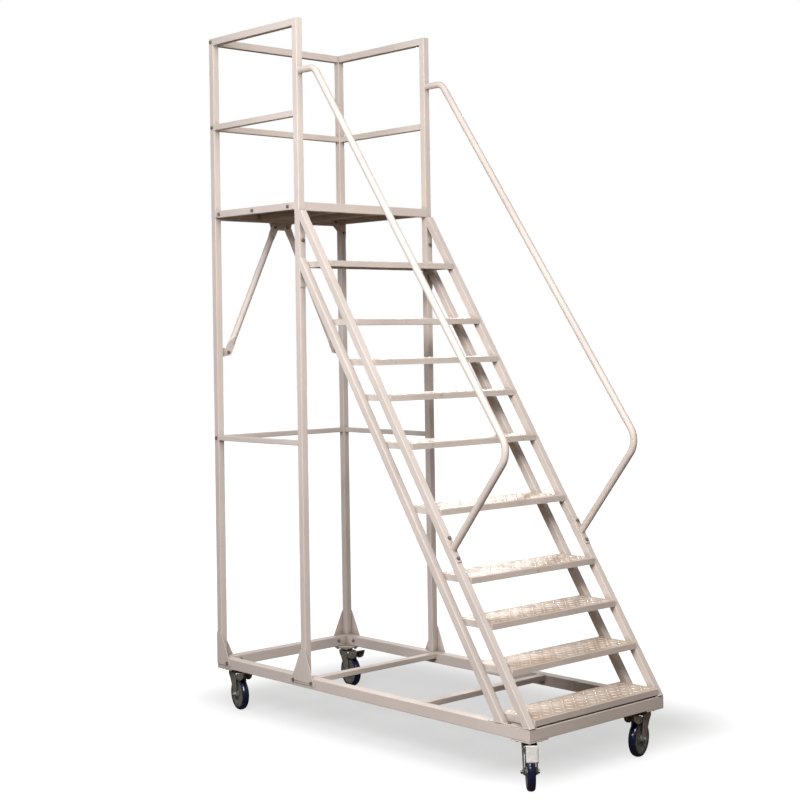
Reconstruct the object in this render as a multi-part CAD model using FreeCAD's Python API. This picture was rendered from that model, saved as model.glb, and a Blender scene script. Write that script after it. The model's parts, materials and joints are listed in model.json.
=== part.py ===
import FreeCAD, Part
import math
import os

# Mobile ladder stand: a railed platform on a four-post tower, a flight of pan treads between
# twin stringers, a rectangular base frame and four braked swivel casters.
# Units are millimetres. +Z is up, the stair climbs towards +Y, X runs across the treads.
# The origin is on the floor under the middle of the whole stand. The stand is laid out about the
# middle of its base frame first, then moved, because the casters reach past one side of the base.

V = FreeCAD.Vector

# ---- driving dimensions ----
PLATFORM_Z = 2500.0        # standing surface above the floor
GUARD_Z = 3370.0           # top of the guard rails
MID_RAIL_Z = 2936.0        # top of the middle guard rail
TIE_RAIL_Z = 1372.0        # top of the tie rails half-way up the tower
BASE_TOP_Z = 258.0         # top of the base frame
BASE_LENGTH = 2140.0
BASE_WIDTH = 860.0
TOWER_DEPTH = 705.0        # outside face to outside face of the posts
STAIR_RUN_PER_RISE = 0.6474

POST = 35.0                # square tube of the posts, stringers and top rails
POST_WALL = 2.0
BASE_TUBE = 50.0
BASE_WALL = 2.5
MID_RAIL = 30.0
TIE_RAIL = 25.0
CROSS_WIDTH = 40.0
CROSS_HEIGHT = 25.0
FRONT_BEAM_HEIGHT = 42.0
REAR_BEAM_HEIGHT = 45.0
CORNER_RADIUS = 3.0        # outside corner of every square tube
DECK_SHEET = 3.0

TREAD_TOPS = [2215.0, 1940.0, 1755.0, 1595.0, 1385.0, 1110.0, 835.0, 655.0, 480.0, 294.0]
TREAD_DEPTH = 210.0
TREAD_LIP = 28.0
TREAD_SHEET = 2.5
NOSE_TOP_Y = 360.0         # nose line where it reaches platform level
UPPER_STRINGER_SETBACK = 18.0
LOWER_STRINGER_SETBACK = 172.0

HANDRAIL_RADIUS = 16.0
HANDRAIL_WALL = 2.0
HANDRAIL_START_Z = 3121.0
HANDRAIL_TOP_Y = 256.6
HANDRAIL_KNEE = (-965.0, 1375.0)
HANDRAIL_TOP_BEND = 60.0
HANDRAIL_KNEE_BEND = 95.0
HANDRAIL_FOOT_Z = 950.0

PLATE = 4.0
BOLT_RADIUS = 4.0
BOLT_HOLE_RADIUS = 4.2
BOLT_HEAD_AF = 13.0
BOLT_HEAD = 5.5
WASHER_RADIUS = 8.5
WASHER = 1.6

WHEEL_RADIUS = 80.0
TYRE_WIDTH = 34.0
HUB_RADIUS = 63.0
CASTER_INSET = 66.0        # swivel axis in from both outside faces of the base corner
CASTER_TRAIL = 40.0        # axle behind the swivel axis
CASTER_HEADINGS = {"front_left": 228.0, "front_right": 194.0, "rear_left": 258.0, "rear_right": 262.0}
CORNER_PLATE = 6.0
CORNER_PLATE_SIZE = 112.0
CASTER_PLATE = 4.0
CASTER_PLATE_SIZE = 90.0
RACE_RADIUS = 31.0
RACE_HEIGHT = 10.0
KINGPIN_RADIUS = 6.0
AXLE_RADIUS = 6.0
PEDAL_PIN_RADIUS = 4.0
RUNNING_CLEARANCE = 0.05
FORK_GAP = 52.0
FORK_SHEET = 4.0
CROWN_TOP_GAP = 1.0
PEDAL_PIVOT = (28.0, 167.0)  # behind the swivel axis, above the floor
PEDAL_WIDTH = 50.0
PEDAL_SHEET = 2.0

# ---- derived positions ----
HALF_W = BASE_WIDTH / 2
REAR_Y = BASE_LENGTH / 2
FRONT_Y = -BASE_LENGTH / 2
TOWER_FRONT_Y = REAR_Y - TOWER_DEPTH
INNER_X = HALF_W - POST
POST_MID_X = HALF_W - POST / 2
REAR_POST_Y = REAR_Y - POST / 2
FRONT_POST_Y = TOWER_FRONT_Y + POST / 2
BASE_BOTTOM_Z = BASE_TOP_Z - BASE_TUBE
STAIR_ANGLE = math.atan2(1.0, STAIR_RUN_PER_RISE)
SIDES = {"left": -1, "right": 1}


def nose_y(z):
    """Y of the tread nose line at height z."""
    return NOSE_TOP_Y - STAIR_RUN_PER_RISE * (PLATFORM_Z - z)


def box(x0, x1, y0, y1, z0, z1):
    return Part.makeBox(x1 - x0, y1 - y0, z1 - z0, V(x0, y0, z0))


def rounded_rectangle(width, height, radius):
    """Closed wire centred on the local origin, in the local XY plane."""
    x = width / 2
    y = height / 2
    k = radius * (1 - math.sqrt(0.5))
    corners = [(x, y, 1, 1), (-x, y, -1, 1), (-x, -y, -1, -1), (x, -y, 1, -1)]
    edges = []
    previous = None
    first = None
    for index, (cx, cy, sx, sy) in enumerate(corners):
        along_x = V(cx - sx * radius, cy, 0)
        along_y = V(cx, cy - sy * radius, 0)
        start, end = (along_y, along_x) if index % 2 == 0 else (along_x, along_y)
        middle = V(cx - sx * k, cy - sy * k, 0)
        if previous is not None:
            edges.append(Part.makeLine(previous, start))
        else:
            first = start
        edges.append(Part.Arc(start, middle, end).toShape())
        previous = end
    edges.append(Part.makeLine(previous, first))
    return Part.Wire(edges)


def tube(start, end, width_axis, width, height, wall):
    """Hollow rectangular tube from start to end; width lies along width_axis."""
    axis = (end - start).normalize()
    outer = Part.Face(rounded_rectangle(width, height, CORNER_RADIUS))
    inner_radius = max(CORNER_RADIUS - wall, 0.6)
    inner = Part.Face(rounded_rectangle(width - 2 * wall, height - 2 * wall, inner_radius))
    length = start.distanceToPoint(end)
    solid = outer.extrude(V(0, 0, length)).cut(inner.extrude(V(0, 0, length)))
    rotation = FreeCAD.Rotation(width_axis, V(0, 0, 0), axis, "ZXY")
    solid.Placement = FreeCAD.Placement(start, rotation)
    return solid


def round_bar(start, end, radius):
    return Part.makeCylinder(radius, start.distanceToPoint(end), start, end - start)


def trim(shape, point, normal):
    """Cut away everything on the side of the plane that normal points to."""
    size = 9000.0
    block = Part.makeBox(size, size, size, V(-size / 2, -size / 2, 0))
    block.Placement = FreeCAD.Placement(point, FreeCAD.Rotation(V(0, 0, 1), normal))
    return shape.cut(block)


def plate(points, thickness_vector):
    """Flat plate from a closed polygon of points and an extrusion vector."""
    return Part.Face(Part.makePolygon(points + points[:1])).extrude(thickness_vector)


def group(solids):
    return Part.makeCompound(solids)


def single(shape):
    """The one solid of a boolean result, with seams merged."""
    clean = shape.removeSplitter()
    return clean.Solids[0]


def hex_prism(center, direction, across_flats, height):
    radius = across_flats / math.sqrt(3)
    points = [V(radius * math.cos(a), radius * math.sin(a), 0)
              for a in [math.radians(60 * i) for i in range(6)]]
    prism = plate(points, V(0, 0, height))
    prism.Placement = FreeCAD.Placement(center, FreeCAD.Rotation(V(0, 0, 1), direction))
    return prism


def bolt(point, outward, grip):
    """Hex bolt whose washer seats at point; the shank runs inward for grip."""
    out = V(outward).normalize()
    washer = Part.makeCylinder(WASHER_RADIUS, WASHER, point, out)
    head = hex_prism(point + out * WASHER, out, BOLT_HEAD_AF, BOLT_HEAD)
    shank = Part.makeCylinder(BOLT_RADIUS, grip, point, out * -1)
    return single(washer.fuse([head, shank]))


def bolt_hole(point, outward, grip):
    out = V(outward).normalize()
    return Part.makeCylinder(BOLT_HOLE_RADIUS, grip + 6.0, point + out * 3.0, out * -1)


def drilled(shape, bolts):
    """Cut the clearance hole of every (point, outward, grip) in bolts."""
    if not bolts:
        return shape
    return shape.cut([bolt_hole(*b) for b in bolts])


# ---- where the bolts go: (point on the outer surface, outward direction, grip) ----
GUSSET_X = HALF_W + PLATE
GUSSET_BOLT_Z = BASE_BOTTOM_Z + 29.0
FRONT_GUSSET_BOLTS_Y = [FRONT_POST_Y - 62.0, FRONT_POST_Y + 72.0]
REAR_GUSSET_INSET = 86.0
GRIP_WALL = 16.0
RAIL_BOLT_GRIP = POST + 14.0


def side_gusset_bolts(side):
    bolts = [(V(side * GUSSET_X, y, GUSSET_BOLT_Z), V(side, 0, 0), GRIP_WALL) for y in FRONT_GUSSET_BOLTS_Y]
    rear = V(side * GUSSET_X, REAR_Y - REAR_GUSSET_INSET, GUSSET_BOLT_Z)
    return bolts + [(rear, V(side, 0, 0), GRIP_WALL)]


def rear_gusset_bolts(side):
    point = V(side * (HALF_W - REAR_GUSSET_INSET), REAR_Y + PLATE, GUSSET_BOLT_Z)
    return [(point, V(0, 1, 0), GRIP_WALL)]


def rear_corner_inner_bolts(side):
    """Bolts seen on the inner faces of the two base rails that meet at a rear corner."""
    inset = REAR_GUSSET_INSET + 20.0
    on_side = V(side * (HALF_W - BASE_TUBE), REAR_Y - inset, GUSSET_BOLT_Z)
    on_rear = V(side * (HALF_W - inset), REAR_Y - BASE_TUBE, GUSSET_BOLT_Z)
    return [(on_side, V(-side, 0, 0), 8.0), (on_rear, V(0, -1, 0), 8.0)]


def rear_rail_bolts(side):
    heights = [GUARD_Z - POST / 2, MID_RAIL_Z - MID_RAIL / 2, TIE_RAIL_Z - TIE_RAIL / 2]
    return [(V(side * HALF_W, REAR_POST_Y, z), V(side, 0, 0), RAIL_BOLT_GRIP) for z in heights]


def deck_bolts(side):
    positions = [TOWER_FRONT_Y + 83.0, TOWER_FRONT_Y + 363.0, REAR_Y - 67.0]
    z = PLATFORM_Z - 18.0
    return [(V(side * HALF_W, y, z), V(side, 0, 0), POST + 4.0) for y in positions]


def stair_mount_bolts(side):
    point = V(side * POST_MID_X, TOWER_FRONT_Y - PLATE, PLATFORM_Z - 182.0)
    return [(point, V(0, -1, 0), GRIP_WALL)]


def stair_foot_bolts(side):
    point = V(side * (HALF_W - 17.0), FRONT_Y + 128.0, BASE_TOP_Z + PLATE)
    return [(point, V(0, 0, 1), GRIP_WALL)]


def handrail_foot_point(side):
    y = nose_y(HANDRAIL_FOOT_Z) + UPPER_STRINGER_SETBACK
    return V(side * POST_MID_X, y, HANDRAIL_FOOT_Z)


STAIR_DIRECTION = V(0, math.cos(STAIR_ANGLE), math.sin(STAIR_ANGLE))
STAIR_NORMAL = V(0, -math.sin(STAIR_ANGLE), math.cos(STAIR_ANGLE))


def handrail_foot_bolts(side):
    center = handrail_foot_point(side) + STAIR_NORMAL * PLATE
    return [(center + STAIR_DIRECTION * s, STAIR_NORMAL, GRIP_WALL) for s in (-49.0, 49.0)]


def corner_bracket_bolts(side):
    """Bolts of the bracket under the rear right corner of the platform; the left has none."""
    if side < 0:
        return []
    y = REAR_Y - POST - PLATE
    low = V(side * (HALF_W - 17.0), y, PLATFORM_Z - 82.0)
    high = V(side * (HALF_W - 75.0), y, PLATFORM_Z - 24.0)
    return [(low, V(0, -1, 0), GRIP_WALL), (high, V(0, -1, 0), GRIP_WALL)]


BRACE_TOP = (40.0, 2434.0)
BRACE_LOW = (352.0, 1790.0)
BRACE_PLANE_Y = REAR_Y - POST / 2


def brace_bolts(side):
    top = V(side * BRACE_TOP[0], BRACE_PLANE_Y - PLATE, BRACE_TOP[1])
    low = V(side * BRACE_LOW[0], BRACE_PLANE_Y - PLATE, BRACE_LOW[1])
    return [(top, V(0, -1, 0), 14.0), (low, V(0, -1, 0), 14.0)]


def corners():
    """Name, side and end sign of each base corner."""
    found = []
    for side_name, side in SIDES.items():
        found.append(("front_" + side_name, side, -1))
        found.append(("rear_" + side_name, side, 1))
    return found


def pivot_xy(side, end):
    return (side * (HALF_W - CASTER_INSET), end * (REAR_Y - CASTER_INSET))


CASTER_BOLT_OFFSET = 33.0
CASTER_PLATE_BOTTOM_Z = BASE_BOTTOM_Z - CORNER_PLATE - CASTER_PLATE


def caster_bolts(side, end):
    """Three bolts reach the rails; they come up from below at the plate corners."""
    x, y = pivot_xy(side, end)
    offsets = [(side, end), (-side, end), (side, -end)]
    return [(V(x + CASTER_BOLT_OFFSET * a, y + CASTER_BOLT_OFFSET * b, CASTER_PLATE_BOTTOM_Z),
             V(0, 0, -1), 22.0) for a, b in offsets]


# ---- tower ----
def post(side, y, bolts):
    """Square tube post, mitred at the top where the side's top rail meets it."""
    base = V(side * POST_MID_X, y, BASE_TOP_Z)
    solid = tube(base, V(side * POST_MID_X, y, GUARD_Z), V(1, 0, 0), POST, POST, POST_WALL)
    inward = -1 if y > FRONT_POST_Y + 1 else 1
    solid = trim(solid, V(0, y, GUARD_Z - POST / 2), V(0, inward, 1))
    return single(drilled(solid, bolts))


def top_rail(side):
    """Side top rail, mitred into both posts."""
    start = V(side * POST_MID_X, TOWER_FRONT_Y, GUARD_Z - POST / 2)
    end = V(side * POST_MID_X, REAR_Y, GUARD_Z - POST / 2)
    rail = tube(start, end, V(1, 0, 0), POST, POST, POST_WALL)
    rail = trim(rail, V(0, FRONT_POST_Y, GUARD_Z - POST / 2), V(0, -1, -1))
    rail = trim(rail, V(0, REAR_POST_Y, GUARD_Z - POST / 2), V(0, 1, -1))
    return single(drilled(rail, rear_rail_bolts(side)))


def side_rail(side, top_z, size):
    """Rail between the two posts of one side, flush with their outer faces."""
    x = side * (HALF_W - size / 2)
    z = top_z - size / 2
    start = V(x, TOWER_FRONT_Y + POST, z)
    return tube(start, V(x, REAR_Y - POST, z), V(1, 0, 0), size, size, POST_WALL)


def rear_rail(top_z, size):
    """Rail between the rear posts."""
    z = top_z - size / 2
    start = V(-INNER_X, REAR_POST_Y, z)
    return tube(start, V(INNER_X, REAR_POST_Y, z), V(0, 1, 0), size, size, POST_WALL)


def make_tower(parts):
    for name, side in SIDES.items():
        rear_bolts = rear_rail_bolts(side) + corner_bracket_bolts(side)
        parts["post_rear_" + name] = post(side, REAR_POST_Y, rear_bolts)
        parts["post_front_" + name] = post(side, FRONT_POST_Y, stair_mount_bolts(side))
        parts["guard_rails_" + name] = group([top_rail(side), side_rail(side, MID_RAIL_Z, MID_RAIL)])
    parts["guard_rails_rear"] = group([rear_rail(GUARD_Z, POST), rear_rail(MID_RAIL_Z, MID_RAIL)])
    ties = [side_rail(side, TIE_RAIL_Z, TIE_RAIL) for side in SIDES.values()]
    parts["tie_rails"] = group(ties + [rear_rail(TIE_RAIL_Z, TIE_RAIL)])


# ---- platform ----
STIFFENER_X = 133.0
STIFFENER_WIDTH = 60.0


def beam(y, height, bolts):
    """Cross beam between two posts, top flush with the deck."""
    z = PLATFORM_Z - height / 2
    solid = tube(V(-INNER_X, y, z), V(INNER_X, y, z), V(0, 1, 0), POST, height, POST_WALL)
    return single(drilled(solid, bolts))


def deck():
    """Deck sheet with turned-down lips along its four edges."""
    y0 = TOWER_FRONT_Y + POST
    y1 = REAR_Y - POST
    lip = POST - 5.0
    skin = box(-INNER_X, INNER_X, y0, y1, PLATFORM_Z - lip, PLATFORM_Z)
    hollow = box(-INNER_X + DECK_SHEET, INNER_X - DECK_SHEET, y0 + DECK_SHEET, y1 - DECK_SHEET,
                 PLATFORM_Z - lip - 1, PLATFORM_Z - DECK_SHEET)
    bolts = deck_bolts(-1) + deck_bolts(1) + corner_bracket_bolts(1)
    return single(drilled(skin.cut(hollow), bolts))


def stiffener(x):
    """Channel under the deck, web down."""
    y0 = TOWER_FRONT_Y + POST + DECK_SHEET
    y1 = REAR_Y - POST - DECK_SHEET
    bottom = PLATFORM_Z - POST
    half = STIFFENER_WIDTH / 2
    outer = box(x - half, x + half, y0, y1, bottom, PLATFORM_Z - DECK_SHEET)
    inner = box(x - half + 2, x + half - 2, y0, y1, bottom + 2, PLATFORM_Z)
    return outer.cut(inner)


def platform_side_rail(side):
    y0 = TOWER_FRONT_Y + POST
    z = PLATFORM_Z - POST / 2
    x = side * POST_MID_X
    solid = tube(V(x, y0, z), V(x, REAR_Y - POST, z), V(1, 0, 0), POST, POST, POST_WALL)
    return single(drilled(solid, deck_bolts(side)))


def corner_bracket(side):
    """Five-sided plate under the platform, tying a rear post to the rear beam."""
    y = REAR_Y - POST
    outline = [(INNER_X - 1, 2464), (HALF_W - 2, 2464), (HALF_W - 2, 2395),
               (INNER_X + 3, 2395), (INNER_X - 60, 2457), (INNER_X - 60, 2470), (INNER_X - 1, 2470)]
    solid = plate([V(side * x, y, z) for x, z in outline], V(0, -PLATE, 0))
    return drilled(solid, corner_bracket_bolts(side))


def make_platform(parts):
    parts["platform_side_rails"] = group([platform_side_rail(side) for side in SIDES.values()])
    parts["platform_front_beam"] = beam(FRONT_POST_Y, FRONT_BEAM_HEIGHT, [])
    parts["platform_rear_beam"] = beam(REAR_POST_Y, REAR_BEAM_HEIGHT, corner_bracket_bolts(1))
    parts["platform_deck"] = deck()
    parts["deck_stiffeners"] = group([stiffener(-STIFFENER_X), stiffener(STIFFENER_X)])


# ---- rear brace ----
BRACE_TUBE_RADIUS = 16.0
BRACE_FLAT = 3.0           # thickness of the pressed ends
BRACE_FLAT_HALF = 22.0     # half width of the pressed ends
BRACE_FLAT_LENGTH = 48.0   # from the bolt to where the tube starts to open out
BRACE_TAPER = 34.0


def pressed_end(bolt_point, direction):
    """Flat, drilled end of a strut and the taper that opens it into the round tube."""
    across = direction.cross(V(0, 1, 0))
    half = BRACE_FLAT_HALF
    tip = bolt_point - direction * 13.0
    neck = bolt_point + direction * BRACE_FLAT_LENGTH
    shoulder = neck - direction * 5.0
    outline = [tip - across * (half - 9), tip + across * (half - 9), bolt_point + across * half,
               shoulder + across * half, neck + across * (half - 4), neck - across * (half - 4),
               shoulder - across * half, bolt_point - across * half]
    flat = plate([p - V(0, BRACE_FLAT / 2, 0) for p in outline], V(0, BRACE_FLAT, 0))
    ovals = []
    for distance, wide, thick in ((0.0, half + 0.5, 2.8), (BRACE_TAPER, BRACE_TUBE_RADIUS - 0.3,
                                                          BRACE_TUBE_RADIUS - 0.4)):
        oval = Part.Wire(Part.Ellipse(V(0, 0, 0), wide, thick).toShape())
        turn = FreeCAD.Rotation(across, V(0, 0, 0), direction, "ZXY")
        oval.Placement = FreeCAD.Placement(neck + direction * distance, turn)
        ovals.append(oval)
    return [flat, Part.makeLoft(ovals, True, True)]


def strut(side):
    """Round tube with both ends pressed flat and drilled."""
    y = BRACE_PLANE_Y - PLATE + BRACE_FLAT / 2
    top = V(side * BRACE_TOP[0], y, BRACE_TOP[1])
    low = V(side * BRACE_LOW[0], y, BRACE_LOW[1])
    along = (low - top).normalize()
    opened = along * (BRACE_FLAT_LENGTH + BRACE_TAPER)
    pieces = pressed_end(top, along) + pressed_end(low, along * -1)
    pieces.append(round_bar(top + opened, low - opened, BRACE_TUBE_RADIUS))
    return single(drilled(pieces[0].fuse(pieces[1:]), brace_bolts(side)))


def apex_bracket():
    """Trapezoid plate hanging from the rear beam."""
    top_z = PLATFORM_Z - REAR_BEAM_HEIGHT
    low_z = BRACE_TOP[1] - 16
    outline = [(-74, top_z), (74, top_z), (62, low_z), (-62, low_z)]
    y = BRACE_PLANE_Y - PLATE + BRACE_FLAT
    solid = plate([V(x, y, z) for x, z in outline], V(0, PLATE, 0))
    return drilled(solid, brace_bolts(-1) + brace_bolts(1))


def brace_lug(side):
    """Ear welded to the inner face of a rear post."""
    outline = [(INNER_X, 1765), (INNER_X, 1815), (BRACE_LOW[0] - 14, 1805), (BRACE_LOW[0] - 14, 1775)]
    y = BRACE_PLANE_Y - PLATE + BRACE_FLAT
    solid = plate([V(side * x, y, z) for x, z in outline], V(0, PLATE, 0))
    return drilled(solid, brace_bolts(side))


def make_brace(parts):
    for name, side in SIDES.items():
        parts["brace_strut_" + name] = strut(side)
    brackets = [apex_bracket()]
    brackets += [brace_lug(-1), brace_lug(1), corner_bracket(1)]
    parts["rear_brackets"] = group(brackets)


# ---- base frame ----
def side_base_rail(side):
    """Long base rail, mitred at both ends."""
    x = side * (HALF_W - BASE_TUBE / 2)
    z = BASE_TOP_Z - BASE_TUBE / 2
    rail = tube(V(x, FRONT_Y, z), V(x, REAR_Y, z), V(1, 0, 0), BASE_TUBE, BASE_TUBE, BASE_WALL)
    rail = trim(rail, V(x, FRONT_Y + BASE_TUBE / 2, 0), V(-side, -1, 0))
    rail = trim(rail, V(x, REAR_Y - BASE_TUBE / 2, 0), V(-side, 1, 0))
    bolts = side_gusset_bolts(side) + stair_foot_bolts(side) + rear_corner_inner_bolts(side)[:1]
    bolts += caster_bolts(side, -1) + caster_bolts(side, 1)
    return single(drilled(rail, bolts))


def end_base_rail(end):
    """Short base rail, mitred at both ends."""
    y = end * (REAR_Y - BASE_TUBE / 2)
    z = BASE_TOP_Z - BASE_TUBE / 2
    rail = tube(V(-HALF_W, y, z), V(HALF_W, y, z), V(0, 1, 0), BASE_TUBE, BASE_TUBE, BASE_WALL)
    bolts = caster_bolts(-1, end) + caster_bolts(1, end)
    for side in SIDES.values():
        rail = trim(rail, V(side * (HALF_W - BASE_TUBE / 2), y, 0), V(side, -end, 0))
        if end > 0:
            bolts += rear_gusset_bolts(side) + rear_corner_inner_bolts(side)[1:]
    return single(drilled(rail, bolts))


def cross_member(y):
    """Flat tube laid between the side rails, top flush with theirs."""
    z = BASE_TOP_Z - CROSS_HEIGHT / 2
    reach = HALF_W - BASE_TUBE
    return tube(V(-reach, y, z), V(reach, y, z), V(0, 1, 0), CROSS_WIDTH, CROSS_HEIGHT, POST_WALL)


def corner_plate(side, end):
    """Square plate with one clipped corner, welded under a base corner."""
    x = side * HALF_W
    y = end * REAR_Y
    size = CORNER_PLATE_SIZE
    outline = [(0, 0), (size, 0), (size, size * 0.55), (size * 0.55, size), (0, size)]
    points = [V(x - side * a, y - end * b, BASE_BOTTOM_Z - CORNER_PLATE) for a, b in outline]
    solid = plate(points, V(0, 0, CORNER_PLATE))
    return drilled(solid, caster_bolts(side, end))


def front_gusset(side):
    """Trapezoid that carries a front post on the side rail."""
    reach = 92.0
    low = BASE_BOTTOM_Z + 16.0
    high = BASE_TOP_Z + 126.0
    outline = [(-POST / 2, high), (POST / 2, high), (reach, low), (-reach + 10, low)]
    x = side * HALF_W
    solid = plate([V(x, FRONT_POST_Y + y, z) for y, z in outline], V(side * PLATE, 0, 0))
    return drilled(solid, side_gusset_bolts(side))


def rear_gusset(side, across):
    """Half trapezoid at a rear post, on the side plane or across the back."""
    reach = 112.0
    low = BASE_BOTTOM_Z + 16.0
    high = BASE_TOP_Z + 126.0
    outline = [(0, high), (POST, high), (reach, low), (0, low)]
    if across:
        points = [V(side * (HALF_W - a), REAR_Y, z) for a, z in outline]
        return drilled(plate(points, V(0, PLATE, 0)), rear_gusset_bolts(side))
    points = [V(side * HALF_W, REAR_Y - a, z) for a, z in outline]
    return drilled(plate(points, V(side * PLATE, 0, 0)), side_gusset_bolts(side))


TOWER_CROSS_Y = TOWER_FRONT_Y - 23.0
MID_CROSS_Y = -393.0


def make_base(parts):
    for name, side in SIDES.items():
        parts["base_rail_" + name] = side_base_rail(side)
    parts["base_rail_front"] = end_base_rail(-1)
    parts["base_rail_rear"] = end_base_rail(1)
    parts["base_cross_members"] = group([cross_member(TOWER_CROSS_Y), cross_member(MID_CROSS_Y)])
    parts["base_corner_plates"] = group([corner_plate(side, end) for _, side, end in corners()])
    gussets = []
    for side in SIDES.values():
        gussets += [front_gusset(side), rear_gusset(side, False), rear_gusset(side, True)]
    parts["post_gussets"] = group(gussets)


# ---- stair ----
def stringer(side, setback):
    """Square tube stringer, cut vertical at the tower and level at its foot plate."""
    horizontal_depth = POST / math.sin(STAIR_ANGLE)
    middle = V(side * POST_MID_X, nose_y(1000.0) + setback + horizontal_depth / 2, 1000.0)
    start = middle - STAIR_DIRECTION * 1200.0
    end = middle + STAIR_DIRECTION * 2000.0
    solid = tube(start, end, V(1, 0, 0), POST, POST, POST_WALL)
    solid = trim(solid, V(0, TOWER_FRONT_Y - PLATE, 0), V(0, 1, 0))
    solid = trim(solid, V(0, 0, PLATFORM_Z - FRONT_BEAM_HEIGHT), V(0, 0, 1))
    return trim(solid, V(0, 0, BASE_TOP_Z + PLATE), V(0, 0, -1))


def upper_stringer(side):
    solid = stringer(side, UPPER_STRINGER_SETBACK)
    return single(drilled(solid, handrail_foot_bolts(side)))


def mount_plate(side):
    """Flat strip bolted to the front post face; both stringers are welded to it."""
    x = side * POST_MID_X
    half = POST / 2
    solid = box(x - half, x + half, TOWER_FRONT_Y - PLATE, TOWER_FRONT_Y, PLATFORM_Z - 404.0, PLATFORM_Z - 44.0)
    return drilled(solid, stair_mount_bolts(side))


def foot_plate(side):
    """Strip on the side rail; both stringer feet stand on it."""
    outer = side * HALF_W
    inner = side * (HALF_W - BASE_TUBE + 2.0)
    solid = box(min(outer, inner), max(outer, inner), FRONT_Y + 2.0, FRONT_Y + 236.0, BASE_TOP_Z,
                BASE_TOP_Z + PLATE)
    return drilled(solid, stair_foot_bolts(side))


def tread(top_z):
    """Folded pan: flat top, four turned-down lips, rounded nose."""
    nose = nose_y(top_z)
    depth_end = nose + TREAD_DEPTH
    outer = box(-INNER_X, INNER_X, nose, depth_end, top_z - TREAD_LIP, top_z)
    nose_edges = [e for e in outer.Edges
                  if abs(e.CenterOfMass.y - nose) < 0.01 and abs(e.CenterOfMass.z - top_z) < 0.01]
    outer = outer.makeFillet(4.0, nose_edges)
    sheet = TREAD_SHEET
    inner = box(-INNER_X + sheet, INNER_X - sheet, nose + sheet, depth_end - sheet,
                top_z - TREAD_LIP - 1, top_z - sheet)
    return single(outer.cut(inner))


def make_stair(parts):
    for name, side in SIDES.items():
        parts["stringer_upper_" + name] = upper_stringer(side)
        parts["stringer_lower_" + name] = single(stringer(side, LOWER_STRINGER_SETBACK))
    plates = [mount_plate(side) for side in SIDES.values()] + [foot_plate(side) for side in SIDES.values()]
    parts["stair_plates"] = group(plates)
    for index, top_z in enumerate(TREAD_TOPS):
        parts["tread_%02d" % (index + 1)] = tread(top_z)


# ---- handrails ----
def bent_path(points, radii):
    """Wire through points, each inner corner replaced by an arc of the given radius."""
    edges = []
    current = points[0]
    for index in range(1, len(points) - 1):
        corner = points[index]
        back = (points[index - 1] - corner).normalize()
        ahead = (points[index + 1] - corner).normalize()
        half_angle = back.getAngle(ahead) / 2
        reach = radii[index - 1] / math.tan(half_angle)
        bisector = (back + ahead).normalize()
        center = corner + bisector * (radii[index - 1] / math.sin(half_angle))
        arc_start = corner + back * reach
        arc_end = corner + ahead * reach
        arc_middle = center - bisector * radii[index - 1]
        edges.append(Part.makeLine(current, arc_start))
        edges.append(Part.Arc(arc_start, arc_middle, arc_end).toShape())
        current = arc_end
    edges.append(Part.makeLine(current, points[-1]))
    return Part.Wire(edges)


def swept(path, radius, start, direction):
    circle = Part.Wire(Part.makeCircle(radius, start, direction))
    return path.makePipeShell([circle], True, False)


def handrail(side):
    """Round handrail: from the post, down beside the stair, round the knee, back to the stringer."""
    x = side * POST_MID_X
    start = V(x, TOWER_FRONT_Y, HANDRAIL_START_Z)
    top = V(x, HANDRAIL_TOP_Y, HANDRAIL_START_Z)
    knee = V(x, HANDRAIL_KNEE[0], HANDRAIL_KNEE[1])
    foot = handrail_foot_point(side) + STAIR_NORMAL * PLATE
    beyond = foot + (foot - knee).normalize() * 40.0
    path = bent_path([start, top, knee, beyond], [HANDRAIL_TOP_BEND, HANDRAIL_KNEE_BEND])
    outer = swept(path, HANDRAIL_RADIUS, start, V(0, -1, 0))
    inner = swept(path, HANDRAIL_RADIUS - HANDRAIL_WALL, start, V(0, -1, 0))
    return single(trim(outer.cut(inner), foot, STAIR_NORMAL * -1))


def handrail_foot(side):
    """Strip on the stringer's front face under the end of the handrail."""
    center = handrail_foot_point(side)
    half_length = 66.0
    half_width = 15.0
    points = []
    for a, b in ((-1, -1), (1, -1), (1, 1), (-1, 1)):
        points.append(center + V(a * half_width, 0, 0) + STAIR_DIRECTION * (b * half_length))
    return drilled(plate(points, STAIR_NORMAL * PLATE), handrail_foot_bolts(side))


def make_handrails(parts):
    for name, side in SIDES.items():
        parts["handrail_" + name] = handrail(side)
    parts["handrail_feet"] = group([handrail_foot(side) for side in SIDES.values()])


# ---- fasteners of the frame ----
def make_bolts(parts):
    frame_bolts = corner_bracket_bolts(1)
    for side in SIDES.values():
        frame_bolts += side_gusset_bolts(side) + rear_gusset_bolts(side) + rear_rail_bolts(side)
        frame_bolts += rear_corner_inner_bolts(side) + deck_bolts(side) + brace_bolts(side)
        frame_bolts += stair_mount_bolts(side) + stair_foot_bolts(side) + handrail_foot_bolts(side)
    parts["frame_bolts"] = group([bolt(*b) for b in frame_bolts])
    under = []
    for _, side, end in corners():
        under += [bolt(*b) for b in caster_bolts(side, end)]
    parts["caster_bolts"] = group(under)


# ---- casters, built with the swivel axis on Z and the axle towards +X ----
RACE_BOTTOM_Z = CASTER_PLATE_BOTTOM_Z - RACE_HEIGHT
CROWN_TOP_Z = RACE_BOTTOM_Z - CROWN_TOP_GAP
CROWN_BOTTOM_Z = CROWN_TOP_Z - FORK_SHEET
FORK_OUTER = FORK_GAP / 2 + FORK_SHEET


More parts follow.
